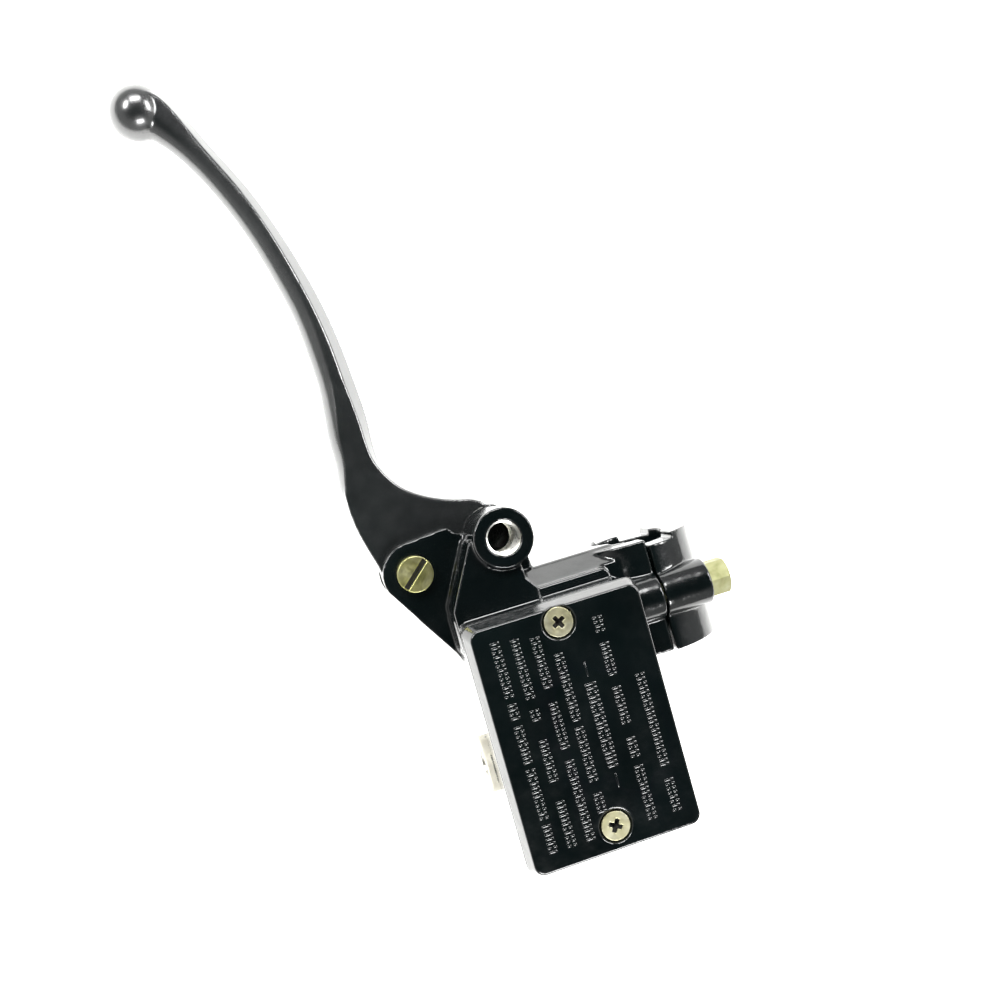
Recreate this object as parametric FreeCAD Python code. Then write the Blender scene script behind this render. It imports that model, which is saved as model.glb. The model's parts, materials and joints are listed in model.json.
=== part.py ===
import FreeCAD, Part
import math
import os

# Front brake master cylinder for the right-hand end of a 22 mm handlebar.
# Millimetres. Origin: centre of the handlebar bore, halfway along the clamp.
# +X runs along the handlebar towards the lever tip, +Y forwards to the lever,
# +Z up through the reservoir lid.

V = FreeCAD.Vector
AXIS_X, AXIS_Y, AXIS_Z = V(1, 0, 0), V(0, 1, 0), V(0, 0, 1)
EPS = 0.05                      # radial clearance of running fits

# handlebar clamp
BAR_R = 11.1
CLAMP_WIDTH = 34.0
CLAMP_BODY_R = 18.0
CLAMP_CAP_R = 19.0
SPLIT_Y = -1.0
SPLIT_GAP = 0.5
CLAMP_BOLT_Z = 16.0
CLAMP_BOSS_R = 7.0
CLAMP_BOSS_END_Y = -15.8
CLAMP_BOSS_ROOT_Y = 11.0
M6_R = 2.95
M6_HOLE_R = 3.0
M6_HEAD_FLATS = 10.0
M6_HEAD_HEIGHT = 6.5
SPOTFACE_R = 6.5
HEX_FACE_SHARE = 0.47
HEX_CHAMFER_SLOPE = 1.8
CLAMP_BOLT_TIP_Y = 9.0
CAP_STEP_Y = -9.3
CAP_STEP_DEPTH = 1.8

# cylinder barrel, axis along X
BARREL_Y = 42.0
BARREL_R = 11.5
BARREL_BACK_X = -50.0
BARREL_MOUTH_X = 13.5
BORE_R = 6.35
BORE_END_X = -42.0
MOUTH_R = 9.0
MOUTH_STEP_X = 5.0
CIRCLIP_X = 6.3
CIRCLIP_THICK = 1.0
CIRCLIP_GROOVE_R = 9.9
STOP_WASHER_THICK = 1.2

# reservoir pot and lid
POT_X, POT_Y = -26.0, 35.0
LID_TOP = (70.0, 49.0)
LID_BASE = (72.8, 51.8)
POT_FOOT = (69.0, 49.0)
POT_BOTTOM_Z = 8.0
POT_FLOOR_Z = 13.0
RIM_Z = 32.0
LID_Z = 38.0
POT_WALL = 3.4
POT_CORNER = 3.0
LID_SCREW_X = (4.8, -54.3)
LID_SCREW_Y = 34.6
LID_SCREW_R = 1.95
LID_HEAD_R = 4.15
LID_HEAD_TOP_Z = 37.7
LID_CROSS_ANGLE = 30.0
POST_R = 4.6
SEAL_SIZE = (66.4, 45.4)
SEAL_THICK = 1.0
PLATE_THICK = 1.2
BAG_SIZE = (44.5, 39.0)
BAG_DEPTH = 7.0
BAG_WALL = 1.0

# brake fluid ports
PORT_X = -36.5
PORT_FACE_Y = 61.5
PORT_BOSS_R = 8.75
PORT_R = 5.0
PORT_DEPTH = 10.5
PORT_DRILL_R = 2.0
INLET_X = -6.0
INLET_R = 1.8
RELIEF_X = -17.6
RELIEF_R = 0.4

# sight glass on the rider's side of the pot
SIGHT_X, SIGHT_Z = -38.0, 20.0
SIGHT_BOSS_R = 8.6
SIGHT_FACE_Y = 8.6
SIGHT_SEAT_Y = 11.6
SIGHT_R = 7.0
SIGHT_HOLE_R = 5.2
SIGHT_LENS_BACK = 0.8
SIGHT_LENS_FRONT = 2.2

# mirror boss and lever ears
MIRROR_X, MIRROR_Y = 30.3, 41.1
MIRROR_BOSS_R = 8.7
MIRROR_TOP_Z = 27.0
MIRROR_HOLE_R = 5.0
MIRROR_HOLE_BOTTOM_Z = 11.0
WEB_TOP_Z = 24.5
EAR_IN_Z = 6.3
EAR_OUT_Z = 9.3
EAR_R = 9.3
EAR_ROOT_X = 13.8

# lever and its pivot
PIVOT_X, PIVOT_Y = 26.1, 66.5
PIVOT_SHANK_R = 4.0
PIVOT_HEAD_R = 5.3
PIVOT_SLOT_ANGLE = -48.0
PIVOT_HEAD_TOP_Z = 12.0
PIVOT_TIP_Z = -16.0
NUT_FLATS = 10.0
NUT_HEIGHT = 5.0
BUSH_R = 5.5
LEVER_HALF = 6.0
LEVER_BOSS_R = 8.9
NOSE_ARM = 24.5
NOSE_LEAD = math.radians(12.0)
NOSE_R = 5.0
BALL_X, BALL_Y = 175.2, 105.6
BALL_R = 8.2
RIDGE_HALF = 0.7
ROOT_CHAMFER = 1.3

# piston stack
PISTON_R = BORE_R - EPS
STEM_R = 4.0
STEM_END_X = 26.0
PISTON_SHOULDER_X = MOUTH_STEP_X
PISTON_LAND_X = -1.5
FRONT_LAND_X = (-14.0, -11.5)
PISTON_NOSE_X = -19.5
SPOOL_R = 4.2
NOSE_PIN_R = 2.6
SPRING_WIRE_R = 0.5
SPRING_R = 4.6
SPRING_TURNS = 7
BOOT_END_X = 23.0
BOOT_FOLDS = 4
BOOT_CREST_R = 7.4
BOOT_RELIEF_R = 7.7


def cyl(radius, start, length, axis):
    """Cylinder from a start point along an axis."""
    return Part.makeCylinder(radius, length, start, axis)


def rounded_wire(cx, cy, size, z, corner):
    """Rectangle with round corners, in a plane of constant z."""
    hx, hy = size[0] / 2, size[1] / 2
    edges = []
    diag = corner * (1 - math.sqrt(0.5))
    for sx, sy in ((1, 1), (-1, 1), (-1, -1), (1, -1)):
        along_x = V(cx + sx * (hx - corner), cy + sy * hy, z)
        along_y = V(cx + sx * hx, cy + sy * (hy - corner), z)
        middle = V(cx + sx * (hx - diag), cy + sy * (hy - diag), z)
        first, last = (along_y, along_x) if sx * sy > 0 else (along_x, along_y)
        edges.append((first, middle, last))
    shapes = []
    for i, (first, middle, last) in enumerate(edges):
        shapes.append(Part.Arc(first, middle, last).toShape())
        following = edges[(i + 1) % len(edges)][0]
        shapes.append(Part.LineSegment(last, following).toShape())
    return Part.Wire(shapes)


def rounded_prism(cx, cy, size, z0, z1, corner):
    """Upright block with round corners."""
    face = Part.Face(rounded_wire(cx, cy, size, z0, corner))
    return face.extrude(V(0, 0, z1 - z0))


def block(x0, x1, y0, y1, z0, z1):
    return Part.makeBox(x1 - x0, y1 - y0, z1 - z0, V(x0, y0, z0))


def plate(points, z0, z1):
    """Straight-sided outline, extruded between two heights."""
    wire = Part.makePolygon([V(x, y, z0) for x, y in points] + [V(*points[0], z0)])
    return Part.Face(wire).extrude(V(0, 0, z1 - z0))


def hexagon(flats, height, centre, axis):
    """Hexagonal prism with a chamfered far end, standing on a point."""
    corner = flats / math.sqrt(3)
    points = []
    for k in range(7):
        angle = math.radians(60 * k + 30)
        points.append(V(corner * math.cos(angle), corner * math.sin(angle), 0))
    prism = Part.Face(Part.makePolygon(points)).extrude(V(0, 0, height))
    face_r = HEX_FACE_SHARE * flats
    trim = Part.makeCone(face_r + HEX_CHAMFER_SLOPE * height, face_r, height)
    prism = prism.common(trim)
    prism.Placement = FreeCAD.Placement(centre, FreeCAD.Rotation(AXIS_Z, axis))
    return prism


def turned(profile):
    """Solid of revolution about the barrel's axis, from (x, radius) points."""
    points = [V(x, BARREL_Y + r, 0) for x, r in profile]
    face = Part.Face(Part.makePolygon(points + [points[0]]))
    return face.revolve(V(0, BARREL_Y, 0), AXIS_X, 360)


def along_barrel(radius, x0, x1):
    return cyl(radius, V(x0, BARREL_Y, 0), x1 - x0, AXIS_X)


def fuse(shapes):
    return shapes[0].multiFuse(shapes[1:]).removeSplitter()


def pot_outer():
    foot = rounded_wire(POT_X, POT_Y, POT_FOOT, POT_BOTTOM_Z, POT_CORNER)
    rim = rounded_wire(POT_X, POT_Y, LID_BASE, RIM_Z, POT_CORNER)
    pot = Part.makeLoft([foot, rim], True, True)
    shoulder = rounded_prism(6.0, 36.5, (14.0, 48.0), EAR_IN_Z, 20.0, 2.5)
    return [pot, shoulder]


def pot_cavity():
    """Fluid space, with the two screw posts left standing."""
    size = (LID_BASE[0] - 2 * POT_WALL, LID_BASE[1] - 2 * POT_WALL)
    cavity = rounded_prism(POT_X, POT_Y, size, POT_FLOOR_Z, RIM_Z + 1, POT_CORNER)
    posts = [cyl(POST_R, V(x, LID_SCREW_Y, POT_FLOOR_Z), 30, AXIS_Z) for x in LID_SCREW_X]
    return cavity.cut(fuse(posts[:1])).cut(posts[1])


def ear_outline():
    """Lever ear: straight front flank, round end about the pivot, notched inner side."""
    flank = [(0.0, 61.0)]
    arc = []
    for degrees in range(110, 0, -10):
        angle = math.radians(degrees)
        arc.append((PIVOT_X + EAR_R * math.cos(angle), PIVOT_Y + EAR_R * math.sin(angle)))
    inner = [(36.4, 54.6), (36.0, 53.4), (34.4, 52.2), (33.4, 50.0), (33.4, 47.0), (36.0, 38.0), (30.0, 33.2),
             (0.0, 31.0)]
    return flank + arc + inner


def ears():
    upper = plate(ear_outline(), EAR_IN_Z, EAR_OUT_Z)
    lower = plate(ear_outline(), -EAR_OUT_Z, -EAR_IN_Z)
    root = plate([(-6.0, 31.0), (-6.0, 58.5), (0.0, 61.0), (12.5, 68.9), (EAR_ROOT_X, 69.0),
                  (EAR_ROOT_X, 31.0)],
                 -EAR_OUT_Z, EAR_OUT_Z)
    return [upper, lower, root]


def mirror_web():
    """Boss for the mirror stem and the gusset that ties it to the pot."""
    boss = cyl(MIRROR_BOSS_R, V(MIRROR_X, MIRROR_Y, EAR_IN_Z), MIRROR_TOP_Z - EAR_IN_Z, AXIS_Z)
    web = plate([(32.0, 49.2), (31.4, 50.9), (14.0, 60.2), (5.0, 60.2), (5.0, 35.0), (14.0, 35.0),
                 (17.5, 37.6), (22.5, 38.0), (26.5, 35.0)], EAR_IN_Z, WEB_TOP_Z)
    return [boss, web]


def clamp_half():
    """Neck and the half of the clamp that belongs to the casting."""
    saddle = cyl(CLAMP_BODY_R, V(-CLAMP_WIDTH / 2, 0, 0), CLAMP_WIDTH, AXIS_X)
    neck_side = [V(-16.0, 0, -8.0), V(17.4, 0, -8.0), V(17.4, 0, 10.5), V(13.2, 0, 16.0), V(-16.0, 0, 16.0)]
    neck = Part.Face(Part.makePolygon(neck_side + [neck_side[0]])).extrude(V(0, 38.0, 0))
    flange = block(-17.0, 18.0, 8.0, 33.0, -10.0, 10.0)
    nub = block(17.0, 19.4, 8.2, 10.6, -3.0, 3.0)
    parts = [saddle, neck, flange, nub]
    for z in (CLAMP_BOLT_Z, -CLAMP_BOLT_Z):
        parts.append(cyl(CLAMP_BOSS_R, V(0, SPLIT_Y, z), CLAMP_BOSS_ROOT_Y - SPLIT_Y, AXIS_Y))
    front = block(-80, 80, SPLIT_Y + SPLIT_GAP / 2, 100, -80, 80)
    return fuse(parts).common(front)


def body_casting():
    solids = [along_barrel(BARREL_R, BARREL_BACK_X, BARREL_MOUTH_X)]
    solids += pot_outer() + ears() + mirror_web()
    solids.append(clamp_half())
    solids.append(cyl(PORT_BOSS_R, V(PORT_X, BARREL_Y, 0), PORT_FACE_Y - BARREL_Y, AXIS_Y))
    solids.append(cyl(SIGHT_BOSS_R, V(SIGHT_X, SIGHT_FACE_Y, SIGHT_Z), 4.0, AXIS_Y))
    casting = fuse(solids)

    cuts = [pot_cavity()]
    cuts.append(cyl(BAR_R, V(-CLAMP_WIDTH, 0, 0), 2 * CLAMP_WIDTH, AXIS_X))
    cuts.append(along_barrel(BORE_R, BORE_END_X, BARREL_MOUTH_X))
    cuts.append(along_barrel(MOUTH_R, MOUTH_STEP_X, BARREL_MOUTH_X + 2))
    cuts.append(along_barrel(BOOT_RELIEF_R, BARREL_MOUTH_X, BOOT_END_X))
    cuts.append(along_barrel(CIRCLIP_GROOVE_R, CIRCLIP_X, CIRCLIP_X + CIRCLIP_THICK + 0.2))
    cuts.append(cyl(PORT_R, V(PORT_X, PORT_FACE_Y - PORT_DEPTH, 0), PORT_DEPTH + 1, AXIS_Y))
    cuts.append(cyl(PORT_DRILL_R, V(PORT_X, BARREL_Y, 0), PORT_FACE_Y - BARREL_Y, AXIS_Y))
    cuts.append(cyl(INLET_R, V(INLET_X, BARREL_Y, 0), POT_FLOOR_Z + 1, AXIS_Z))
    cuts.append(cyl(RELIEF_R, V(RELIEF_X, BARREL_Y, 0), POT_FLOOR_Z + 1, AXIS_Z))
    cuts.append(cyl(SIGHT_R, V(SIGHT_X, SIGHT_FACE_Y - 1, SIGHT_Z), SIGHT_SEAT_Y - SIGHT_FACE_Y + 1, AXIS_Y))
    cuts.append(cyl(SIGHT_HOLE_R, V(SIGHT_X, SIGHT_FACE_Y, SIGHT_Z), 8, AXIS_Y))
    cuts.append(cyl(MIRROR_HOLE_R, V(MIRROR_X, MIRROR_Y, MIRROR_HOLE_BOTTOM_Z), 30, AXIS_Z))
    cuts.append(cyl(PIVOT_SHANK_R + EPS, V(PIVOT_X, PIVOT_Y, 0), 20, AXIS_Z))
    cuts.append(cyl(M6_HOLE_R, V(PIVOT_X, PIVOT_Y, -20), 20, AXIS_Z))
    for x in LID_SCREW_X:
        cuts.append(cyl(LID_SCREW_R + EPS, V(x, LID_SCREW_Y, POT_FLOOR_Z + 6), 30, AXIS_Z))
    for z in (CLAMP_BOLT_Z, -CLAMP_BOLT_Z):
        cuts.append(cyl(M6_HOLE_R, V(0, -20, z), 20 + CLAMP_BOLT_TIP_Y + 0.5, AXIS_Y))
    for cut in cuts:
        casting = casting.cut(cut)
    return casting


def clamp_cap():
    shell = cyl(CLAMP_CAP_R, V(-CLAMP_WIDTH / 2, 0, 0), CLAMP_WIDTH, AXIS_X)
    parts = [shell]
    for z in (CLAMP_BOLT_Z, -CLAMP_BOLT_Z):
        parts.append(cyl(CLAMP_BOSS_R, V(0, CLAMP_BOSS_END_Y, z), -CLAMP_BOSS_END_Y, AXIS_Y))
    cap = fuse(parts).common(block(-80, 80, -80, SPLIT_Y - SPLIT_GAP / 2, -80, 80))
    cap = cap.cut(cyl(BAR_R, V(-CLAMP_WIDTH, 0, 0), 2 * CLAMP_WIDTH, AXIS_X))
    for z in (CLAMP_BOLT_Z, -CLAMP_BOLT_Z):
        cap = cap.cut(cyl(M6_HOLE_R + 0.2, V(0, -40, z), 60, AXIS_Y))
        cap = cap.cut(cyl(SPOTFACE_R, V(0, CLAMP_BOSS_END_Y, z), 20, V(0, -1, 0)))
    step = block(CLAMP_WIDTH / 2 - CAP_STEP_DEPTH, CLAMP_WIDTH, CAP_STEP_Y, 5, -30, 30)
    return cap.cut(step)


def clamp_bolt(z):
    head = hexagon(M6_HEAD_FLATS, M6_HEAD_HEIGHT, V(0, CLAMP_BOSS_END_Y, z), V(0, -1, 0))
    shank = cyl(M6_R, V(0, CLAMP_BOSS_END_Y, z), CLAMP_BOLT_TIP_Y - CLAMP_BOSS_END_Y, AXIS_Y)
    return fuse([head, shank])


def reservoir_lid():
    base = rounded_wire(POT_X, POT_Y, LID_BASE, RIM_Z, POT_CORNER)
    top = rounded_wire(POT_X, POT_Y, LID_TOP, LID_Z, POT_CORNER)
    lid = Part.makeLoft([base, top], True, True)
    recess_z = RIM_Z + SEAL_THICK + PLATE_THICK
    lid = lid.cut(rounded_prism(POT_X, POT_Y, SEAL_SIZE, RIM_Z - 1, recess_z, 2.0))
    for x in LID_SCREW_X:
        lid = lid.cut(cyl(LID_SCREW_R + 0.2, V(x, LID_SCREW_Y, RIM_Z - 1), 10, AXIS_Z))
        seat = Part.makeCone(LID_SCREW_R + 0.2, LID_HEAD_R + 0.1, 2.4, V(x, LID_SCREW_Y, 34.6), AXIS_Z)
        lid = lid.cut(seat)
        lid = lid.cut(cyl(LID_HEAD_R + 0.55, V(x, LID_SCREW_Y, 37.0), 5, AXIS_Z))
    return lid


def cross_wing(x, y):
    """One tapered wing of a cross recess."""
    sections = []
    for z, half_long, half_wide in ((LID_HEAD_TOP_Z - 2.2, 0.8, 0.4), (LID_HEAD_TOP_Z + 0.6, 2.4, 0.72)):
        signs = ((1, 1), (-1, 1), (-1, -1), (1, -1))
        corners = [V(x + sx * half_long, y + sy * half_wide, z) for sx, sy in signs]
        sections.append(Part.makePolygon(corners + [corners[0]]))
    return Part.makeLoft(sections, True, True)


def lid_screw(x):
    """Countersunk cross-head screw that holds the lid, plate and diaphragm."""
    cone_top = 37.0
    cone_bottom = 34.6
    head = cyl(LID_HEAD_R, V(x, LID_SCREW_Y, cone_top), LID_HEAD_TOP_Z - cone_top, AXIS_Z)
    cone_foot = V(x, LID_SCREW_Y, cone_bottom)
    cone = Part.makeCone(LID_SCREW_R, LID_HEAD_R, cone_top - cone_bottom, cone_foot, AXIS_Z)
    shank = cyl(LID_SCREW_R, V(x, LID_SCREW_Y, POT_FLOOR_Z + 8), cone_bottom - POT_FLOOR_Z - 8, AXIS_Z)
    screw = fuse([head, cone, shank])
    for angle in (0, 90):
        wing = cross_wing(x, LID_SCREW_Y)
        wing.rotate(V(x, LID_SCREW_Y, 0), AXIS_Z, angle + (LID_CROSS_ANGLE if x > 0 else -LID_CROSS_ANGLE))
        screw = screw.cut(wing)
    return screw


def diaphragm():
    """Rubber seal: a flange on the pot's rim and a bag that hangs in the fluid."""
    flange = rounded_prism(POT_X, POT_Y, SEAL_SIZE, RIM_Z, RIM_Z + SEAL_THICK, 2.0)
    bag = rounded_prism(POT_X + 1, POT_Y, BAG_SIZE, RIM_Z - BAG_DEPTH, RIM_Z, 4.0)
    inner_size = (BAG_SIZE[0] - 2 * BAG_WALL, BAG_SIZE[1] - 2 * BAG_WALL)
    inner = rounded_prism(POT_X + 1, POT_Y, inner_size, RIM_Z - BAG_DEPTH + BAG_WALL, RIM_Z + 3, 3.0)
    seal = fuse([flange, bag]).cut(inner)
    for x in LID_SCREW_X:
        seal = seal.cut(cyl(LID_SCREW_R + 0.2, V(x, LID_SCREW_Y, RIM_Z - 5), 10, AXIS_Z))
    return seal


def diaphragm_plate():
    """Stiff plate that presses the diaphragm's flange down."""
    z0 = RIM_Z + SEAL_THICK
    part = rounded_prism(POT_X, POT_Y, SEAL_SIZE, z0, z0 + PLATE_THICK, 2.0)
    window = rounded_prism(POT_X + 1, POT_Y, (36.0, 30.0), z0 - 1, z0 + 3, 3.0)
    part = part.cut(window)
    for x in LID_SCREW_X:
        part = part.cut(cyl(LID_SCREW_R + 0.2, V(x, LID_SCREW_Y, z0 - 1), 5, AXIS_Z))
    return part


def splash_shield():
    """Bent plate over the two small ports in the pot's floor."""
    top = block(-23.0, -1.0, 34.0, 50.0, POT_FLOOR_Z + 2.4, POT_FLOOR_Z + 3.0)
    legs = [block(x, x + 0.6, 34.0, 50.0, POT_FLOOR_Z, POT_FLOOR_Z + 3.0) for x in (-23.0, -1.6)]
    return fuse([top] + legs)


def ring_y(outer, inner, y0, y1):
    """Ring or disc in the sight glass seat, its axis along Y."""
    ring = cyl(outer, V(SIGHT_X, y0, SIGHT_Z), y1 - y0, AXIS_Y)
    if inner:
        ring = ring.cut(cyl(inner, V(SIGHT_X, y0 - 1, SIGHT_Z), y1 - y0 + 2, AXIS_Y))
    return ring


def piston():
    return turned([
        (PISTON_NOSE_X, 0), (PISTON_NOSE_X, NOSE_PIN_R), (FRONT_LAND_X[0], NOSE_PIN_R),
        (FRONT_LAND_X[0], PISTON_R), (FRONT_LAND_X[1], PISTON_R), (FRONT_LAND_X[1], SPOOL_R),
        (PISTON_LAND_X - 3.5, SPOOL_R), (PISTON_LAND_X - 3.5, PISTON_R), (PISTON_LAND_X - 2.5, PISTON_R),
        (PISTON_LAND_X - 2.5, SPOOL_R), (PISTON_LAND_X, SPOOL_R), (PISTON_LAND_X, PISTON_R),
        (PISTON_SHOULDER_X, PISTON_R), (PISTON_SHOULDER_X, STEM_R), (20.4, STEM_R), (20.4, STEM_R - 0.8),
        (22.0, STEM_R - 0.8), (22.0, STEM_R), (STEM_END_X - 0.8, STEM_R), (STEM_END_X, STEM_R - 1.2),
        (STEM_END_X, 0)])


def primary_cup():
    """Lipped pressure seal in front of the piston's front land."""
    back = FRONT_LAND_X[0]
    return turned([
        (back, NOSE_PIN_R), (back, PISTON_R - 0.3), (back - 3.6, PISTON_R), (back - 3.6, PISTON_R - 0.8),
        (back - 1.6, PISTON_R - 1.8), (back - 1.6, NOSE_PIN_R)])


def secondary_cup():
    """Lipped seal that keeps the fluid out of the barrel's mouth."""
    back = PISTON_LAND_X
    return turned([
        (back, SPOOL_R), (back, PISTON_R - 0.2), (back - 2.4, PISTON_R), (back - 2.4, PISTON_R - 0.6),
        (back - 1.0, SPOOL_R + 0.8), (back - 2.2, SPOOL_R)])


def return_spring():
    """Wire coil between the barrel's blind end and the primary cup."""
    start = BORE_END_X + SPRING_WIRE_R + 0.1
    length = FRONT_LAND_X[0] - 3.6 - 0.1 - SPRING_WIRE_R - start
    helix = Part.makeLongHelix(length / SPRING_TURNS, length, SPRING_R)
    circle = Part.makeCircle(SPRING_WIRE_R, V(SPRING_R, 0, 0), V(0, 1, 0))
    coil = Part.Wire(helix).makePipeShell([Part.Wire(circle)], True, True)
    coil.Placement = FreeCAD.Placement(V(start, BARREL_Y, 0), FreeCAD.Rotation(AXIS_Z, AXIS_X))
    return coil


def stop_washer():
    x0 = MOUTH_STEP_X
    return along_barrel(MOUTH_R - 0.1, x0 + 0.02, x0 + STOP_WASHER_THICK).cut(
        along_barrel(STEM_R + 0.4, x0 - 1, x0 + 3))


def circlip():
    """Internal retaining ring with two eyes."""
    x0 = CIRCLIP_X
    ring = along_barrel(CIRCLIP_GROOVE_R - 0.2, x0, x0 + CIRCLIP_THICK)
    ring = ring.cut(along_barrel(MOUTH_R - 1.2, x0 - 1, x0 + 3))
    ring = ring.cut(block(x0 - 1, x0 + 3, BARREL_Y - 2.2, BARREL_Y + 2.2, -15, 0))
    eyes = []
    for side in (-1, 1):
        centre = V(x0, BARREL_Y + side * 3.4, -(MOUTH_R - 2.6))
        eyes.append(cyl(1.5, centre, CIRCLIP_THICK, AXIS_X).cut(cyl(0.7, centre, CIRCLIP_THICK, AXIS_X)))
    return fuse([ring] + eyes)


def dust_boot():
    """Pleated rubber sleeve from the barrel's mouth to the stem's groove."""
    seat_x = CIRCLIP_X + CIRCLIP_THICK + 1.0
    outer = [(seat_x, MOUTH_R - 0.05), (BARREL_MOUTH_X, MOUTH_R - 0.05)]
    inner = [(seat_x, MOUTH_R - 1.6), (BARREL_MOUTH_X - 0.4, MOUTH_R - 1.6)]
    step = (BOOT_END_X - 2.6 - BARREL_MOUTH_X) / (2 * BOOT_FOLDS)
    for k in range(1, 2 * BOOT_FOLDS + 1):
        crest = BOOT_CREST_R - 0.1 * k
        radius = crest if k % 2 == 0 else crest - 1.2
        outer.append((BARREL_MOUTH_X + step * k, radius))
        inner.append((BARREL_MOUTH_X + step * k, radius - 0.9))
    outer += [(BOOT_END_X - 1.2, STEM_R + 1.6), (BOOT_END_X, STEM_R + 1.6)]
    inner += [(BOOT_END_X - 2.5, STEM_R + 0.05), (BOOT_END_X, STEM_R + 0.05)]
    return turned(outer + inner[::-1])


def blade_section(outer, inner, half, slope, nose):
    """Lever cross-section: flat faces, round finger side, ridged bar side."""
    ox, oy = outer
    ix, iy = inner
    width = math.hypot(ox - ix, oy - iy)
    ux, uy = (ox - ix) / width, (oy - iy) / width

    def at(u, z):
        return V(ix + ux * u, iy + uy * u, z)

    corners = [at(0, -RIDGE_HALF), at(0, RIDGE_HALF), at(slope, half), at(width - nose, half)]
    edges = [Part.makeLine(a, b) for a, b in zip(corners, corners[1:])]
    edges.append(Part.Arc(at(width - nose, half), at(width, 0), at(width - nose, -half)).toShape())
    edges.append(Part.makeLine(at(width - nose, -half), at(slope, -half)))
    edges.append(Part.makeLine(at(slope, -half), at(0, -RIDGE_HALF)))
    return Part.Wire(edges)


# Blade sections from the push nose to the ball: finger side, bar side, half thickness,
# width of the bar-side slope, depth of the finger-side round.
BLADE = [
    ((34.0, 44.0), (41.2, 40.2), 6.0, 1.0, 1.5),
    ((33.0, 51.0), (43.9, 46.6), 6.0, 1.0, 1.5),
    ((36.0, 61.0), (47.2, 55.4), 6.0, 1.0, 1.5),
    ((41.0, 70.0), (51.0, 61.2), 6.0, 1.0, 1.5),
    ((51.0, 79.7), (55.8, 65.0), 6.0, 1.1, 1.2),
    ((60.4, 79.7), (61.8, 66.9), 6.0, 1.9, 2.2),
    ((70.2, 79.4), (71.7, 66.7), 6.0, 2.8, 3.0),
    ((83.1, 78.1), (83.9, 67.1), 5.9, 3.4, 3.8),
    ((95.4, 78.2), (96.5, 68.1), 5.8, 3.3, 4.2),
    ((107.4, 79.2), (109.4, 70.0), 5.6, 3.3, 4.5),
    ((118.5, 81.4), (121.2, 72.7), 5.4, 3.2, 4.6),
    ((132.9, 85.3), (135.9, 77.1), 5.2, 2.9, 4.6),
    ((145.7, 90.2), (149.3, 82.3), 5.0, 2.8, 4.6),
    ((157.3, 96.2), (162.3, 88.8), 4.9, 2.6, 4.5),
    ((164.0, 101.0), (170.6, 92.6), 5.2, 2.5, 4.8),
    ((167.6, 104.6), (177.3, 96.4), 5.9, 2.4, 5.0),
    ((172.5, 107.0), (181.0, 100.8), 6.2, 2.4, 4.6),
]


def lever_root():
    """Plate between the ears: pivot eye, push nose and the swell into the blade."""
    nose_x = PIVOT_X + NOSE_ARM * math.sin(NOSE_LEAD)
    nose_y = PIVOT_Y - NOSE_ARM * math.cos(NOSE_LEAD)
    eye = cyl(LEVER_BOSS_R, V(PIVOT_X, PIVOT_Y, -LEVER_HALF), 2 * LEVER_HALF, AXIS_Z)
    nose = cyl(NOSE_R, V(nose_x, nose_y, -LEVER_HALF), 2 * LEVER_HALF, AXIS_Z)
    finger_side = [(26.0, 75.3), (30.0, 75.7), (34.2, 76.8), (39.5, 78.2), (46.0, 79.3), (50.5, 79.5),
                   (55.0, 79.3)]
    bar_side = [(58.0, 68.4), (54.6, 66.4), (49.6, 62.3), (45.6, 56.1), (42.3, 47.3), (39.8, 41.0)]
    tip = [(39.0, 37.6), (36.6, 35.6), (nose_x, nose_y - NOSE_R)]
    arm = [(nose_x, nose_y), (nose_x - 0.7 * NOSE_R, nose_y + 0.7 * NOSE_R), (26.9, 49.5),
           (PIVOT_X - 8.5, PIVOT_Y - 2.5), finger_side[0]]

    def raised(points):
        return [V(x, y, -LEVER_HALF) for x, y in points]

    def curve(points):
        spline = Part.BSplineCurve()
        spline.interpolate(raised(points))
        return spline.toShape()

    def straight(points):
        corners = raised(points)
        return [Part.makeLine(a, b) for a, b in zip(corners, corners[1:])]

    edges = [curve(finger_side)]
    edges += straight([finger_side[-1], bar_side[0]])
    edges.append(curve(bar_side))
    edges += straight([bar_side[-1]] + tip + arm)
    web = Part.Face(Part.Wire(edges)).extrude(V(0, 0, 2 * LEVER_HALF))
    rim_length = curve(bar_side).Length
    rims = [e for e in web.Edges if abs(e.Length - rim_length) < EPS and e.BoundBox.ZLength < EPS]
    return [web.makeChamfer(ROOT_CHAMFER, rims), eye, nose]


def lever():
    blade = Part.makeLoft([blade_section(*station) for station in BLADE], True, False)
    ball = Part.makeSphere(BALL_R, V(BALL_X, BALL_Y, 0))
    shape = fuse(lever_root() + [blade, ball])
    return shape.cut(cyl(BUSH_R, V(PIVOT_X, PIVOT_Y, -20), 40, AXIS_Z))


def lever_bush():
    outer = cyl(BUSH_R, V(PIVOT_X, PIVOT_Y, -LEVER_HALF), 2 * LEVER_HALF, AXIS_Z)
    return outer.cut(cyl(PIVOT_SHANK_R + EPS, V(PIVOT_X, PIVOT_Y, -20), 40, AXIS_Z))


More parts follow.
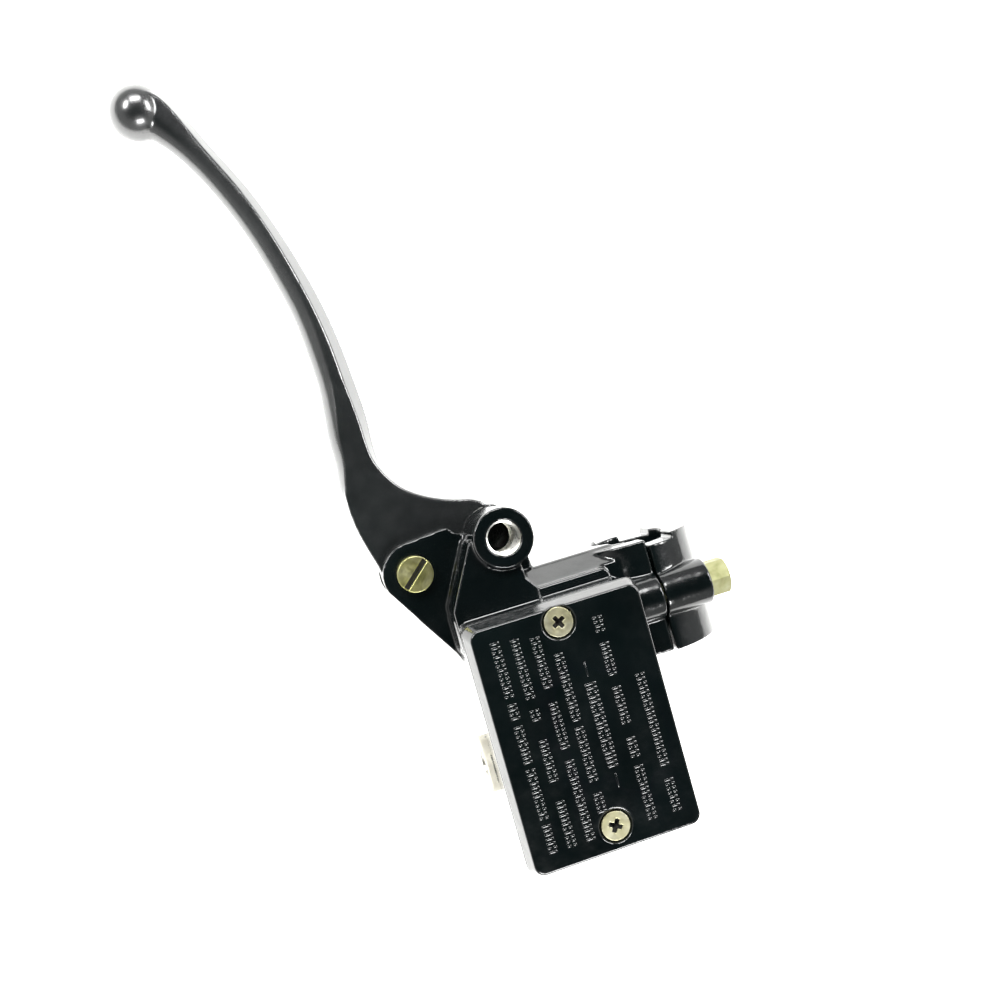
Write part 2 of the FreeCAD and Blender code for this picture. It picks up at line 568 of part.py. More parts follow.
def pivot_bolt():
    """Slotted pivot bolt: shoulder through the lever, thread through the lower ear."""
    head = cyl(PIVOT_HEAD_R, V(PIVOT_X, PIVOT_Y, EAR_OUT_Z), PIVOT_HEAD_TOP_Z - EAR_OUT_Z, AXIS_Z)
    shoulder = cyl(PIVOT_SHANK_R, V(PIVOT_X, PIVOT_Y, -EAR_IN_Z), EAR_OUT_Z + EAR_IN_Z, AXIS_Z)
    thread = cyl(M6_R, V(PIVOT_X, PIVOT_Y, PIVOT_TIP_Z), -PIVOT_TIP_Z, AXIS_Z)
    slot = block(PIVOT_X - 10, PIVOT_X + 10, PIVOT_Y - 0.8, PIVOT_Y + 0.8, PIVOT_HEAD_TOP_Z - 1.5, 20)
    slot.rotate(V(PIVOT_X, PIVOT_Y, 0), AXIS_Z, PIVOT_SLOT_ANGLE)
    return fuse([head, shoulder, thread]).cut(slot)


def pivot_nut():
    centre = V(PIVOT_X, PIVOT_Y, -EAR_OUT_Z)
    nut = hexagon(NUT_FLATS, NUT_HEIGHT, centre, V(0, 0, -1))
    return nut.cut(cyl(M6_HOLE_R, V(PIVOT_X, PIVOT_Y, -30), 30, AXIS_Z))


def main():
    os.makedirs("parts", exist_ok=True)
    nodes = {
        "body_casting": body_casting(),
        "clamp_cap": clamp_cap(),
        "clamp_bolts": Part.makeCompound([clamp_bolt(CLAMP_BOLT_Z), clamp_bolt(-CLAMP_BOLT_Z)]),
        "reservoir_lid": reservoir_lid(),
        "lid_screws": Part.makeCompound([lid_screw(x) for x in LID_SCREW_X]),
        "diaphragm": diaphragm(),
        "diaphragm_plate": diaphragm_plate(),
        "splash_shield": splash_shield(),
        "sight_gasket": ring_y(SIGHT_R - EPS, SIGHT_HOLE_R - 0.4, SIGHT_SEAT_Y - SIGHT_LENS_BACK,
                               SIGHT_SEAT_Y),
        "sight_lens": ring_y(SIGHT_R - EPS, 0, SIGHT_SEAT_Y - SIGHT_LENS_FRONT,
                             SIGHT_SEAT_Y - SIGHT_LENS_BACK),
        "sight_ring": ring_y(SIGHT_R - 0.02, SIGHT_HOLE_R, SIGHT_FACE_Y, SIGHT_SEAT_Y - SIGHT_LENS_FRONT),
        "piston": piston(),
        "primary_cup": primary_cup(),
        "secondary_cup": secondary_cup(),
        "return_spring": return_spring(),
        "stop_washer": stop_washer(),
        "circlip": circlip(),
        "dust_boot": dust_boot(),
        "lever": lever(),
        "lever_bush": lever_bush(),
        "pivot_bolt": pivot_bolt(),
        "pivot_nut": pivot_nut(),
    }
    for name, shape in nodes.items():
        shape.exportStep(f"parts/{name}.step")
        print(name, "valid", shape.isValid(), "solids", len(shape.Solids), "volume", round(shape.Volume, 1))


main()
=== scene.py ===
import json
import math
import random

import bmesh
import bpy
from mathutils import Matrix, Vector


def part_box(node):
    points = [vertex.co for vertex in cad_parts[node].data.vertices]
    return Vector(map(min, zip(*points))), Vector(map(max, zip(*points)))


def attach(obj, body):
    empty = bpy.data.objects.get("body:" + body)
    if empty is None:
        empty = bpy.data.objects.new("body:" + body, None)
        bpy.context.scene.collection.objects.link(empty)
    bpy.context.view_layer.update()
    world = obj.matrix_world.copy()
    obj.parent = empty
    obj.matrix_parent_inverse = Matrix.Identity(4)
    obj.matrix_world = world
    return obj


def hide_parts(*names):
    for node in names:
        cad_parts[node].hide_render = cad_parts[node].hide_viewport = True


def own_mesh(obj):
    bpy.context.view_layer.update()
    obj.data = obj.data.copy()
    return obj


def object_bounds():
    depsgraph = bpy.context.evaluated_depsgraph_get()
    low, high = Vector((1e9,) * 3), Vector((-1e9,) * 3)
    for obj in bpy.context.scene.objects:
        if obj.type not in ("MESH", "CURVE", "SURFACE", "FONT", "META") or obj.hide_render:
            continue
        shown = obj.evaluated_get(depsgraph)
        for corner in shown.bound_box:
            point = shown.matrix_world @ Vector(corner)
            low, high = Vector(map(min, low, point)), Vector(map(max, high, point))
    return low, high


# Looks of a motorcycle front brake master cylinder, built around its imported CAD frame.
# Row frame: +X along the handlebar towards the lever tip, +Y forwards, +Z up. Metres.

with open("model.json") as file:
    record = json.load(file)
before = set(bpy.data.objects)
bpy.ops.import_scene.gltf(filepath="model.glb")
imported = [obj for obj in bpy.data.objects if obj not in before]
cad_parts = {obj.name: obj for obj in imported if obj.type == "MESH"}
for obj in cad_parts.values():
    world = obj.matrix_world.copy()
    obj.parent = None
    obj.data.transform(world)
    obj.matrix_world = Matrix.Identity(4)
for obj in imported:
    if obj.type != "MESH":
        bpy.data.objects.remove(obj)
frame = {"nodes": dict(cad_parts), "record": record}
cad_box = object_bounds()

MM = 0.001
NODES = frame["nodes"]
MOUNTS = {m["name"]: m for m in frame["record"]["mounts"]}
BODY, LEVER = "master_cylinder", "lever"
X_AXIS = Vector((1, 0, 0))


# ---------------------------------------------------------------- materials

class Nodes:
    """A short way to build a Principled material with patterned colour, roughness and bump."""

    def __init__(self, name):
        self.material = bpy.data.materials.new(name)
        self.material.use_nodes = True
        self.tree = self.material.node_tree
        self.shader = self.tree.nodes["Principled BSDF"]
        self.place = self.add("ShaderNodeTexCoord").outputs["Object"]

    def add(self, kind):
        return self.tree.nodes.new(kind)

    def link(self, source, target):
        self.tree.links.new(source, target)

    def noise(self, scale, detail=3.0, roughness=0.5, distortion=0.0):
        node = self.add("ShaderNodeTexNoise")
        node.inputs["Scale"].default_value = scale
        node.inputs["Detail"].default_value = detail
        node.inputs["Roughness"].default_value = roughness
        node.inputs["Distortion"].default_value = distortion
        self.link(self.place, node.inputs["Vector"])
        return node.outputs["Fac"]

    def ramp(self, factor, stops):
        node = self.add("ShaderNodeValToRGB")
        elements = node.color_ramp.elements
        while len(elements) < len(stops):
            elements.new(0.5)
        for element, (position, colour) in zip(elements, stops):
            element.position = position
            element.color = (*colour, 1)
        self.link(factor, node.inputs["Fac"])
        return node.outputs["Color"]

    def spread(self, factor, low, high):
        node = self.add("ShaderNodeMapRange")
        node.inputs["From Min"].default_value = 0.3
        node.inputs["From Max"].default_value = 0.7
        node.inputs["To Min"].default_value = low
        node.inputs["To Max"].default_value = high
        self.link(factor, node.inputs["Value"])
        return node.outputs["Result"]

    def bump(self, layers):
        """Bump from (height, distance in metres, strength) layers, one on another."""
        normal = None
        for height, distance, strength in layers:
            node = self.add("ShaderNodeBump")
            node.inputs["Distance"].default_value = distance
            node.inputs["Strength"].default_value = strength
            self.link(height, node.inputs["Height"])
            if normal:
                self.link(normal, node.inputs["Normal"])
            normal = node.outputs["Normal"]
        self.link(normal, self.shader.inputs["Normal"])

    def colour(self, socket):
        self.link(socket, self.shader.inputs["Base Color"])

    def roughness(self, socket):
        self.link(socket, self.shader.inputs["Roughness"])

    def fixed(self, **values):
        for name, value in values.items():
            self.shader.inputs[name.replace("_", " ")].default_value = value


def gloss_black():
    """Thick gloss enamel over a die casting: orange peel, soft cast waves, faint teal tint."""
    m = Nodes("gloss_black")
    tones = [(0.35, (0.0008, 0.0022, 0.0024)), (0.68, (0.0022, 0.0045, 0.0048))]
    m.colour(m.ramp(m.noise(45, 4), tones))
    m.roughness(m.spread(m.noise(130, 4, 0.6), 0.13, 0.24))
    m.bump([(m.noise(110, 2), 0.0011, 0.26), (m.noise(420, 2), 0.00030, 0.20),
            (m.noise(2600, 2), 0.00006, 0.09)])
    m.fixed(Coat_Weight=0.7, Coat_Roughness=0.07, Specular_IOR_Level=0.55)
    return m.material


def satin_black():
    """Satin coating of the lever: smoother and a little lighter, with faint rubbed patches."""
    m = Nodes("satin_black")
    tones = [(0.30, (0.0015, 0.0028, 0.0030)), (0.72, (0.0042, 0.0064, 0.0066))]
    m.colour(m.ramp(m.noise(38, 5, 0.6), tones))
    m.roughness(m.spread(m.noise(210, 4, 0.65), 0.28, 0.40))
    m.bump([(m.noise(70, 2), 0.0008, 0.10), (m.noise(2200, 3), 0.00008, 0.16)])
    m.fixed(Coat_Weight=1.0, Coat_Roughness=0.22, Coat_IOR=2.1)
    return m.material


def metal(name, dark, light, extra, rough, grain, metallic=1.0):
    """Plated or machined metal: patches of tone, scratched roughness and a fine grain."""
    m = Nodes(name)
    m.colour(m.ramp(m.noise(200, 3, 0.5, 0.3), [(0.25, dark), (0.50, light), (0.78, extra)]))
    m.roughness(m.spread(m.noise(700, 4, 0.6), *rough))
    m.bump([(m.noise(grain, 3, 0.6), 0.00008, 0.12)])
    m.fixed(Metallic=metallic)
    return m.material


def rubber():
    m = Nodes("black_rubber")
    m.colour(m.ramp(m.noise(300, 4), [(0.3, (0.010, 0.010, 0.011)), (0.7, (0.022, 0.022, 0.022))]))
    m.roughness(m.spread(m.noise(900, 3), 0.55, 0.75))
    m.bump([(m.noise(3000, 3), 0.00010, 0.30)])
    return m.material


def painted_recess_shade():
    """Painted shade: a dark, rough colour at the bottom of a screw recess, where shadow falls."""
    m = Nodes("recess_painted_shade")
    m.colour(m.ramp(m.noise(400, 3), [(0.3, (0.010, 0.010, 0.008)), (0.7, (0.030, 0.028, 0.020))]))
    m.roughness(m.spread(m.noise(800, 3), 0.6, 0.85))
    m.bump([(m.noise(1800, 3), 0.00010, 0.3)])
    return m.material


def white_plastic():
    m = Nodes("white_plastic")
    m.colour(m.ramp(m.noise(120, 3), [(0.3, (0.66, 0.65, 0.60)), (0.7, (0.78, 0.77, 0.73))]))
    m.roughness(m.spread(m.noise(600, 3), 0.42, 0.58))
    m.bump([(m.noise(2400, 2), 0.00006, 0.2)])
    return m.material


def clear_plastic():
    """Sight glass: clear moulded plastic with a faint haze."""
    m = Nodes("clear_plastic")
    m.colour(m.ramp(m.noise(90, 3), [(0.3, (0.80, 0.84, 0.80)), (0.7, (0.90, 0.92, 0.88))]))
    m.roughness(m.spread(m.noise(400, 3), 0.03, 0.10))
    m.bump([(m.noise(500, 2), 0.00005, 0.10)])
    m.fixed(Transmission_Weight=0.85, IOR=1.49)
    return m.material


def pale_floor():
    m = Nodes("pale_floor")
    m.colour(m.ramp(m.noise(6, 3), [(0.3, (0.90, 0.90, 0.885)), (0.7, (0.93, 0.93, 0.915))]))
    m.roughness(m.spread(m.noise(40, 3), 0.75, 0.85))
    m.bump([(m.noise(900, 2), 0.0001, 0.05)])
    m.fixed(Emission_Color=(1, 1, 0.985, 1), Emission_Strength=1.15)
    return m.material


GLOSS = gloss_black()
SATIN = satin_black()
ZINC = metal("yellow_zinc", (0.52, 0.50, 0.28), (0.68, 0.65, 0.42), (0.80, 0.78, 0.60), (0.34, 0.46), 2400)
STEEL = metal("stainless", (0.46, 0.46, 0.45), (0.62, 0.62, 0.61), (0.74, 0.73, 0.71), (0.20, 0.34), 2600)
ANODISED = metal("anodised", (0.40, 0.38, 0.30), (0.52, 0.50, 0.42), (0.60, 0.58, 0.50), (0.30, 0.42), 2200)
BRONZE = metal("bronze", (0.36, 0.22, 0.09), (0.52, 0.34, 0.15), (0.62, 0.44, 0.22), (0.34, 0.50), 1800)
BARE = metal("bare_aluminium", (0.74, 0.72, 0.64), (0.88, 0.87, 0.81), (0.96, 0.95, 0.90), (0.24, 0.36), 2600)
OLIVE = metal("olive_zinc", (0.44, 0.44, 0.13), (0.66, 0.64, 0.26), (0.78, 0.76, 0.44), (0.30, 0.42), 2400)
CHROMATE = metal("chromate", (0.20, 0.205, 0.08), (0.33, 0.33, 0.165), (0.46, 0.45, 0.29),
                 (0.46, 0.58), 2400, 0.5)
SEAT = metal("turned_seat", (0.62, 0.59, 0.48), (0.74, 0.71, 0.60), (0.82, 0.80, 0.70),
             (0.45, 0.60), 2000, 0.25)
# Dark colour painted into screw recesses and slots as shade.
RECESS_PAINTED_SHADE = painted_recess_shade()
RUBBER = rubber()
WHITE = white_plastic()
CLEAR = clear_plastic()


# ---------------------------------------------------------------- mesh helpers

def new_piece(name, mesh, materials, body):
    piece = bpy.data.objects.new(name, mesh)
    bpy.context.scene.collection.objects.link(piece)
    mesh.materials.clear()
    for material in materials:
        mesh.materials.append(material)
    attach(piece, body)
    return piece


def smooth_by_angle(mesh, degrees):
    """Soft shading, with edges sharper than an angle kept crisp."""
    mesh.shade_smooth()
    mesh.set_sharp_from_angle(angle=math.radians(degrees))


def finished(piece):
    """The piece's mesh with its modifiers applied."""
    graph = bpy.context.evaluated_depsgraph_get()
    mesh = bpy.data.meshes.new_from_object(piece.evaluated_get(graph))
    piece.modifiers.clear()
    old = piece.data
    piece.data = mesh
    bpy.data.meshes.remove(old)
    return mesh


def softened(node, name, materials, body, voxel, passes, keep, pick=None):
    """A copy of a CAD node with the small edge rounding of a casting, forging or plated fastener."""
    mesh = NODES[node].data.copy()
    piece = bpy.data.objects.new(name, mesh)
    bpy.context.scene.collection.objects.link(piece)
    weld = piece.modifiers.new("weld", "WELD")
    weld.merge_threshold = 0.000002
    remesh = piece.modifiers.new("remesh", "REMESH")
    remesh.mode = "VOXEL"
    remesh.voxel_size = voxel * MM
    smooth = piece.modifiers.new("smooth", "SMOOTH")
    smooth.factor = 0.5
    smooth.iterations = passes
    if keep < 1:
        thin = piece.modifiers.new("thin", "DECIMATE")
        thin.ratio = keep
    mesh = finished(piece)
    mesh.materials.clear()
    for material in materials:
        mesh.materials.append(material)
    mesh.shade_smooth()
    if pick:
        for polygon in mesh.polygons:
            polygon.material_index = pick(polygon.center / MM)
    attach(piece, body)
    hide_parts(node)


def turn(profile, segments, origin, axis):
    """Surface of revolution: profile holds (distance along the axis, radius) pairs in mm."""
    bm = bmesh.new()
    rings = []
    spin = axis.to_track_quat("Z", "Y").to_matrix().to_4x4()
    for along, radius in profile:
        ring = []
        for k in range(segments):
            angle = 2 * math.pi * k / segments
            local = Vector((radius * math.cos(angle), radius * math.sin(angle), along)) * MM
            ring.append(bm.verts.new(spin @ local + origin))
        rings.append(ring)
    for low, high in zip(rings, rings[1:] + rings[:1]):
        for k in range(segments):
            following = (k + 1) % segments
            bm.faces.new((low[k], low[following], high[following], high[k]))
    bmesh.ops.recalc_face_normals(bm, faces=bm.faces)
    mesh = bpy.data.meshes.new("turned")
    bm.to_mesh(mesh)
    bm.free()
    return mesh


def helix_mesh(section, lead, turns, steps, origin, axis):
    """A closed section, as (radius, along) pairs in mm, swept along a helix."""
    bm = bmesh.new()
    spin = axis.to_track_quat("Z", "Y").to_matrix().to_4x4()
    rings = []
    count = round(turns * steps)
    for k in range(count + 1):
        angle = 2 * math.pi * k / steps
        rise = lead * k / steps
        ring = []
        for radius, along in section:
            local = Vector((radius * math.cos(angle), radius * math.sin(angle), along + rise)) * MM
            ring.append(bm.verts.new(spin @ local + origin))
        rings.append(ring)
    size = len(section)
    for low, high in zip(rings, rings[1:]):
        for k in range(size):
            following = (k + 1) % size
            bm.faces.new((low[k], low[following], high[following], high[k]))
    bm.faces.new(rings[0][::-1])
    bm.faces.new(rings[-1])
    bmesh.ops.recalc_face_normals(bm, faces=bm.faces)
    mesh = bpy.data.meshes.new("helix")
    bm.to_mesh(mesh)
    bm.free()
    return mesh


def centre(node):
    low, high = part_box(node)
    return (low + high) / 2


# ---------------------------------------------------------------- castings and lever

# Points taken straight from the mounts are in metres. Everything else here is in mm.
MIRROR = Vector(MOUNTS["mirror_thread"]["pos_m"])
PORT = Vector(MOUNTS["outlet_port"]["pos_m"])
PORT_FACE = Vector(MOUNTS["banjo_face"]["pos_m"])
THREAD_R = MOUNTS["mirror_thread"]["dims"]["r_mm"]
MIRROR_MARGIN, PORT_MARGIN = 0.15, 0.25
SEAT_R = 9.1
SEAT_DEPTH = 3.0
PORT_HOLE_START = 2
# Heights in the mirror hole: below the first, the bare hole is left black as painted shade; above the second,
# the rim stays painted.
HOLE_SHADE_Z, HOLE_RIM_Z = 18.0, 25.8
PISTON_AXIS = centre("piston")
BORE_WALL_R = 6.8
BORE_END_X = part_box("return_spring")[0].x / MM - 2.0
SCREW_HEAD_R = 4.15
RECESS_R, RECESS_DEPTH, RECESS_RIM = 2.3, 2.8, 0.22
PIVOT = centre("pivot_bolt") / MM
PIVOT_TOP_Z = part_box("pivot_bolt")[1].z / MM
PIVOT_HEAD_R, HEAD_RIM = 5.3, 0.3
# The last of these is the share of the slot's depth below which it is painted dark as shade.
SLOT_DEPTH, SLOT_MARGIN, SLOT_SHADE_FROM = 1.5, 0.15, 0.6
SCREWS_LOW, SCREWS_HIGH = (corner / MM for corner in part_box("lid_screws"))


def machined(place):
    """1 where the casting is cut bare after painting, in its bore and threads; 2 on the
    turned outlet seat. The mirror hole's deep end under its thread stays 0, black as painted shade."""
    from_mirror = math.hypot(place.x - MIRROR.x / MM, place.y - MIRROR.y / MM)
    from_port = math.hypot(place.x - PORT.x / MM, place.z - PORT.z / MM)
    from_bore = math.hypot(place.y - PISTON_AXIS.y / MM, place.z - PISTON_AXIS.z / MM)
    # Below its thread the mirror hole is left gloss black, as painted shade.
    in_mirror = from_mirror < THREAD_R + MIRROR_MARGIN and HOLE_SHADE_Z < place.z < HOLE_RIM_Z
    in_port = from_port < SEAT_R and place.y > PORT_FACE.y / MM - SEAT_DEPTH
    port_hole_r = THREAD_R + PORT_MARGIN
    in_port_hole = from_port < port_hole_r and place.y > PISTON_AXIS.y / MM + PORT_HOLE_START
    if in_port and from_port > port_hole_r:
        return 2
    in_bore = from_bore < BORE_WALL_R and place.x > BORE_END_X
    return int(in_mirror or in_port or in_port_hole or in_bore)


def castings():
    softened("body_casting", "casting", [GLOSS, BARE, SEAT], BODY, 0.42, 5, 0.35, machined)
    softened("clamp_cap", "cap_casting", [GLOSS], BODY, 0.36, 5, 0.5)
    softened("reservoir_lid", "lid_casting", [GLOSS], BODY, 0.34, 4, 0.5)
    softened("lever", "lever_forging", [SATIN], LEVER, 0.42, 8, 0.6)


# ---------------------------------------------------------------- fasteners and threads

def screw_recess(place):
    """1 inside the cross recess of a lid screw, which is painted dark as shade."""
    ends = (SCREWS_LOW.x + SCREW_HEAD_R, SCREWS_HIGH.x - SCREW_HEAD_R)
    nearest = min(abs(place.x - x) for x in ends)
    reach = math.hypot(nearest, place.y - (SCREWS_LOW.y + SCREWS_HIGH.y) / 2)
    deep = SCREWS_HIGH.z - RECESS_DEPTH < place.z < SCREWS_HIGH.z - RECESS_RIM
    return int(reach < RECESS_R and deep)


def driver_slot(place):
    """1 at the bottom of the pivot screw's slot, which is painted dark as shade."""
    floor_z = PIVOT_TOP_Z - SLOT_DEPTH - SLOT_MARGIN
    deep = floor_z < place.z < PIVOT_TOP_Z - SLOT_SHADE_FROM * SLOT_DEPTH
    reach = math.hypot(place.x - PIVOT.x, place.y - PIVOT.y)
    return int(deep and reach < PIVOT_HEAD_R - HEAD_RIM)


def fasteners():
    # The lid screws' second material is painted shade inside their cross recesses.
    softened("lid_screws", "lid_screw_pair", [ZINC, RECESS_PAINTED_SHADE], BODY, 0.13, 1, 0.7, screw_recess)
    # The pivot screw's second material is painted shade at the bottom of its slot.
    softened("pivot_bolt", "pivot_screw", [OLIVE, RECESS_PAINTED_SHADE], BODY, 0.14, 1, 0.6, driver_slot)
    softened("pivot_nut", "pivot_lock_nut", [CHROMATE], BODY, 0.16, 2, 0.6)
    softened("clamp_bolts", "clamp_bolt_pair", [CHROMATE], BODY, 0.20, 2, 0.6)


THREAD_LEAD_IN, THREAD_PLAIN = 0.6, 1.1
RIDGE_FOOT, RIDGE_TIP, RIDGE_SINK = 0.42, 0.14, 0.35
RIDGE_STEPS = 56


def thread_ridges(name, mount, pitch, depth):
    """The thread that stands in from a tapped hole's nominal wall."""
    dims = mount["dims"]
    axis = Vector(mount["axis"])
    radius = dims["r_mm"]
    start = Vector(mount["pos_m"]) - axis * (dims["length_mm"] / 2 - THREAD_LEAD_IN) * MM
    turns = (dims["length_mm"] - THREAD_PLAIN - pitch) / pitch
    root, tip = RIDGE_FOOT * pitch, RIDGE_TIP * pitch
    section = [(radius + RIDGE_SINK, -root), (radius + RIDGE_SINK, root),
               (radius - depth, tip), (radius - depth, -tip)]
    mesh = helix_mesh(section, pitch, turns, RIDGE_STEPS, start, axis)
    smooth_by_angle(mesh, 35)
    new_piece(name, mesh, [BARE], BODY)


# ---------------------------------------------------------------- soft parts

def dust_boot():
    """Pleated rubber sleeve, round at every fold."""
    low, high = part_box("dust_boot")
    origin = Vector((low.x, PISTON_AXIS.y, PISTON_AXIS.z))
    length = (high.x - low.x) / MM
    seat, mouth_r, stem_r = 5.2, 8.95, 4.05
    mouth_wall, wall = 1.6, 0.9
    lip, lip_r, lip_edge_r = 1.6, stem_r + 1.5, stem_r + 1.2
    crest_r, taper, half_fold = 7.3, 1.5, 0.75
    folds, steps = 4, 12
    outer = [(0, mouth_r), (seat, mouth_r)]
    pleats = length - seat - 2.0
    for k in range(1, folds * steps + 1):
        share = k / (folds * steps)
        wave = half_fold * (1 - math.cos(2 * math.pi * folds * share))
        outer.append((seat + pleats * share, crest_r - taper * share - wave))
    outer += [(length - lip, lip_r), (length - 0.2, lip_r), (length, lip_edge_r)]
    inner = [(along, max(radius - wall, stem_r)) for along, radius in outer[2:-3]]
    mouth = [(seat - 0.4, mouth_r - mouth_wall), (0, mouth_r - mouth_wall)]
    profile = outer + [(length, stem_r)] + inner[::-1] + mouth
    mesh = turn(profile, 72, origin, X_AXIS)
    smooth_by_angle(mesh, 50)
    piece = new_piece("boot", mesh, [RUBBER], BODY)
    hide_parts("dust_boot")
    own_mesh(piece)


def return_spring():
    low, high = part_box("return_spring")
    wire, coil_r = 0.5, 4.6
    turns = 7
    length = (high.x - low.x) / MM - 2 * wire
    origin = Vector((low.x + wire * MM, PISTON_AXIS.y, PISTON_AXIS.z))
    ring = [2 * math.pi * k / 12 for k in range(12)]
    section = [(coil_r + wire * math.cos(a), wire * math.sin(a)) for a in ring]
    mesh = helix_mesh(section, length / turns, turns, 40, origin, X_AXIS)
    smooth_by_angle(mesh, 50)
    piece = new_piece("spring", mesh, [STEEL], BODY)
    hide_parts("return_spring")
    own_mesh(piece)


# ---------------------------------------------------------------- lid markings

def bar(bm, x, y, z, size_x, size_y, height):
    """A raised bar with sloping sides, its foot a little below the lid's face."""
    levels = [(-0.15, 1.0), (0.03, 1.0), (0.62 * height, 0.62), (height, 0.04)]
    rings = []
    for rise, share in levels:
        ring = []
        for sx, sy in ((1, 1), (-1, 1), (-1, -1), (1, -1)):
            inset = (1 - share) * min(size_x, size_y) / 2
            corner_x = x + sx * (size_x / 2 - inset)
            corner_y = y + sy * (size_y / 2 - inset)
            ring.append(bm.verts.new(Vector((corner_x, corner_y, z + rise)) * MM))
        rings.append(ring)
    for low, high in zip(rings, rings[1:]):
        for k in range(4):
            following = (k + 1) % 4
            bm.faces.new((low[k], low[following], high[following], high[k]))
    bm.faces.new(rings[0][::-1])
    bm.faces.new(rings[-1])


# Rows of raised bars: share of the lid's width from its +Y edge, bar length in mm, and the
# stretches of the lid's length from its -X end that carry bars.
MARK_ROWS = [
    (0.125, 2.9, ((0.08, 0.19), (0.22, 0.41), (0.45, 0.60), (0.63, 0.69), (0.72, 0.94))),
    (0.237, 2.9, ((0.08, 0.25), (0.35, 0.51), (0.60, 0.64), (0.69, 0.93))),
    (0.350, 2.9, ((0.08, 0.40), (0.46, 0.64), (0.71, 0.91))),
    (0.455, 2.9, ((0.17, 0.25), (0.30, 0.51), (0.55, 0.82))),
    (0.585, 3.6, ((0.33, 0.67),)),
    (0.725, 2.9, ((0.08, 0.29), (0.34, 0.41), (0.48, 0.63), (0.68, 0.81), (0.86, 0.92))),
    (0.875, 2.9, ((0.08, 0.21), (0.27, 0.64))),
]
MARK_DASHES = ((0.24, 0.30), (0.70, 0.76))
MARK_PITCH = 1.25
MARK_WIDTH = 0.80
MARK_HEIGHT = 0.27
WHOLE_BARS = 0.55
HALF_OFFSET, HALF_LENGTH = 0.29, 0.42
DASH_ROW, DASH_WIDTH, DASH_HEIGHT = 4, 0.5, 0.6
LID_DRAFT = 1.4


def lid_marks():
    """Plain raised bars in rows of uneven groups. They carry no writing."""
    low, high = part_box("reservoir_lid")
    x0, x1 = low.x / MM + LID_DRAFT, high.x / MM - LID_DRAFT
    y0, y1 = low.y / MM + LID_DRAFT, high.y / MM - LID_DRAFT
    top = high.z / MM
    pick = random.Random(7)
    bm = bmesh.new()
    for across, length, groups in MARK_ROWS:
        y = y1 - across * (y1 - y0)
        for first, last in groups:
            count = max(1, round((last - first) * (x1 - x0) / MARK_PITCH))
            for k in range(count + 1):
                x = x0 + first * (x1 - x0) + k * MARK_PITCH
                if pick.random() < WHOLE_BARS:
                    bar(bm, x, y, top, MARK_WIDTH, length * pick.uniform(0.85, 1.0), MARK_HEIGHT)
                else:
                    for offset in (HALF_OFFSET * length, -HALF_OFFSET * length):
                        bar(bm, x, y + offset, top, MARK_WIDTH, HALF_LENGTH * length, MARK_HEIGHT)
    middle = y1 - MARK_ROWS[DASH_ROW][0] * (y1 - y0)
    for first, last in MARK_DASHES:
        x = x0 + (first + last) / 2 * (x1 - x0)
        size_x = (last - first) * (x1 - x0)
        bar(bm, x, middle, top, size_x, DASH_WIDTH, DASH_HEIGHT * MARK_HEIGHT)
    bmesh.ops.recalc_face_normals(bm, faces=bm.faces)
    mesh = bpy.data.meshes.new("marks")
    bm.to_mesh(mesh)
    bm.free()
    smooth_by_angle(mesh, 60)
    new_piece("lid_bars", mesh, [GLOSS], BODY)


# ---------------------------------------------------------------- CAD nodes that stay

def dress_cad():
    finishes = {
        "diaphragm": RUBBER, "diaphragm_plate": WHITE, "splash_shield": STEEL,
        "sight_gasket": RUBBER, "sight_lens": CLEAR, "sight_ring": STEEL,
        "piston": ANODISED, "primary_cup": RUBBER, "secondary_cup": RUBBER,
        "stop_washer": STEEL, "circlip": STEEL, "lever_bush": BRONZE,
    }
    for node, material in finishes.items():
        mesh = NODES[node].data
        mesh.materials.clear()
        mesh.materials.append(material)


# ---------------------------------------------------------------- stage

CAMERA_PLACE = Vector((60.5, 95.4, 358.2)) * MM
CAMERA_FORWARD = Vector((-0.0584, -0.1668, -0.9843))
CAMERA_RIGHT = Vector((-0.2711, -0.9462, 0.1764))
LENS_MM = 43.2
FLOOR_SIZE, FLOOR_DROP = 30.0, 0.002


def camera():
    data = bpy.data.cameras.new("camera")
    data.lens = LENS_MM
    data.clip_start = 0.01
    data.clip_end = 20
    view = bpy.data.objects.new("camera", data)
    bpy.context.scene.collection.objects.link(view)
    back = -CAMERA_FORWARD.normalized()
    right = (CAMERA_RIGHT - back * CAMERA_RIGHT.dot(back)).normalized()
    up = back.cross(right)
    turned = Matrix((right, up, back)).transposed().to_4x4()
    view.matrix_world = Matrix.Translation(CAMERA_PLACE) @ turned
    bpy.context.scene.camera = view


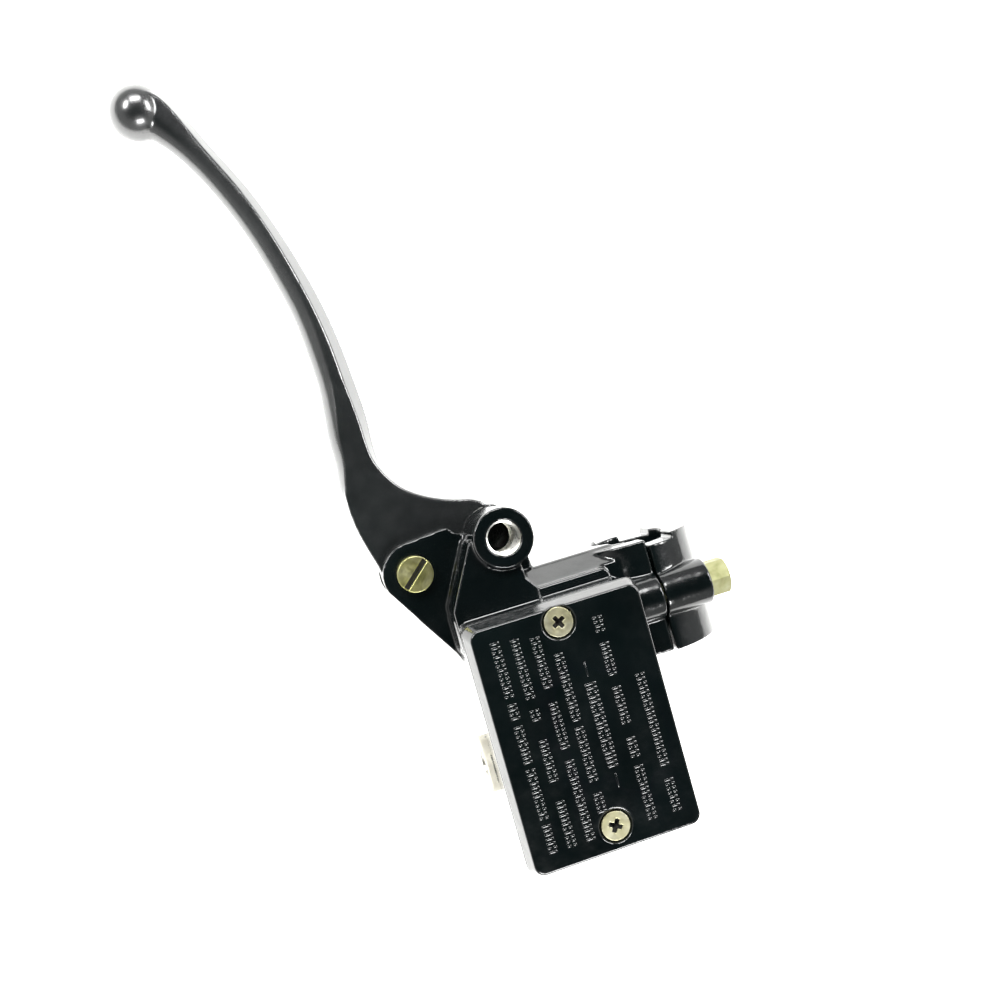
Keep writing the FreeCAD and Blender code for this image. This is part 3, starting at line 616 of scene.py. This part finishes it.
def area_light(name, place, target, size, power):
    data = bpy.data.lights.new(name, "AREA")
    data.shape = "RECTANGLE"
    data.size, data.size_y = size
    data.energy = power
    lamp = bpy.data.objects.new(name, data)
    bpy.context.scene.collection.objects.link(lamp)
    lamp.location = place
    lamp.rotation_euler = (Vector(target) - Vector(place)).to_track_quat("-Z", "Y").to_euler()


def studio():
    low, high = cad_box
    middle = (Vector(low) + Vector(high)) / 2
    floor_place = (middle.x, middle.y, low[2] - FLOOR_DROP)
    bpy.ops.mesh.primitive_plane_add(size=FLOOR_SIZE, location=floor_place)
    floor = bpy.context.object
    floor.name = "floor"
    floor.data.materials.append(pale_floor())

    area_light("key", (0.30, -0.80, 0.78), middle, (0.7, 0.22), 9)
    area_light("left", (0.70, 0.72, 0.88), middle, (0.5, 0.22), 8)
    area_light("end", (-0.78, 0.05, 0.78), middle, (0.5, 0.22), 8)
    area_light("tip", (0.86, 0.00, 0.80), middle, (0.6, 0.30), 10)

    world = bpy.data.worlds.new("world")
    bpy.context.scene.world = world
    world.use_nodes = True
    tree = world.node_tree
    coordinates = tree.nodes.new("ShaderNodeTexCoord")
    split = tree.nodes.new("ShaderNodeSeparateXYZ")
    ramp = tree.nodes.new("ShaderNodeValToRGB")
    ramp.color_ramp.elements[0].position = 0.52
    ramp.color_ramp.elements[0].color = (0.5, 0.5, 0.495, 1)
    ramp.color_ramp.elements[1].position = 0.86
    ramp.color_ramp.elements[1].color = (0.018, 0.02, 0.02, 1)
    tree.links.new(coordinates.outputs["Generated"], split.inputs[0])
    tree.links.new(split.outputs["Z"], ramp.inputs["Fac"])
    background = tree.nodes["Background"]
    tree.links.new(ramp.outputs["Color"], background.inputs["Color"])
    background.inputs["Strength"].default_value = 1.0
    bpy.context.scene.view_settings.view_transform = "Standard"


# ---------------------------------------------------------------- build

castings()
fasteners()
thread_ridges("mirror_thread_ridges", MOUNTS["mirror_thread"], 1.25, 0.62)
thread_ridges("outlet_thread_ridges", MOUNTS["outlet_port"], 1.0, 0.5)
dust_boot()
return_spring()
lid_marks()
dress_cad()
camera()
studio()
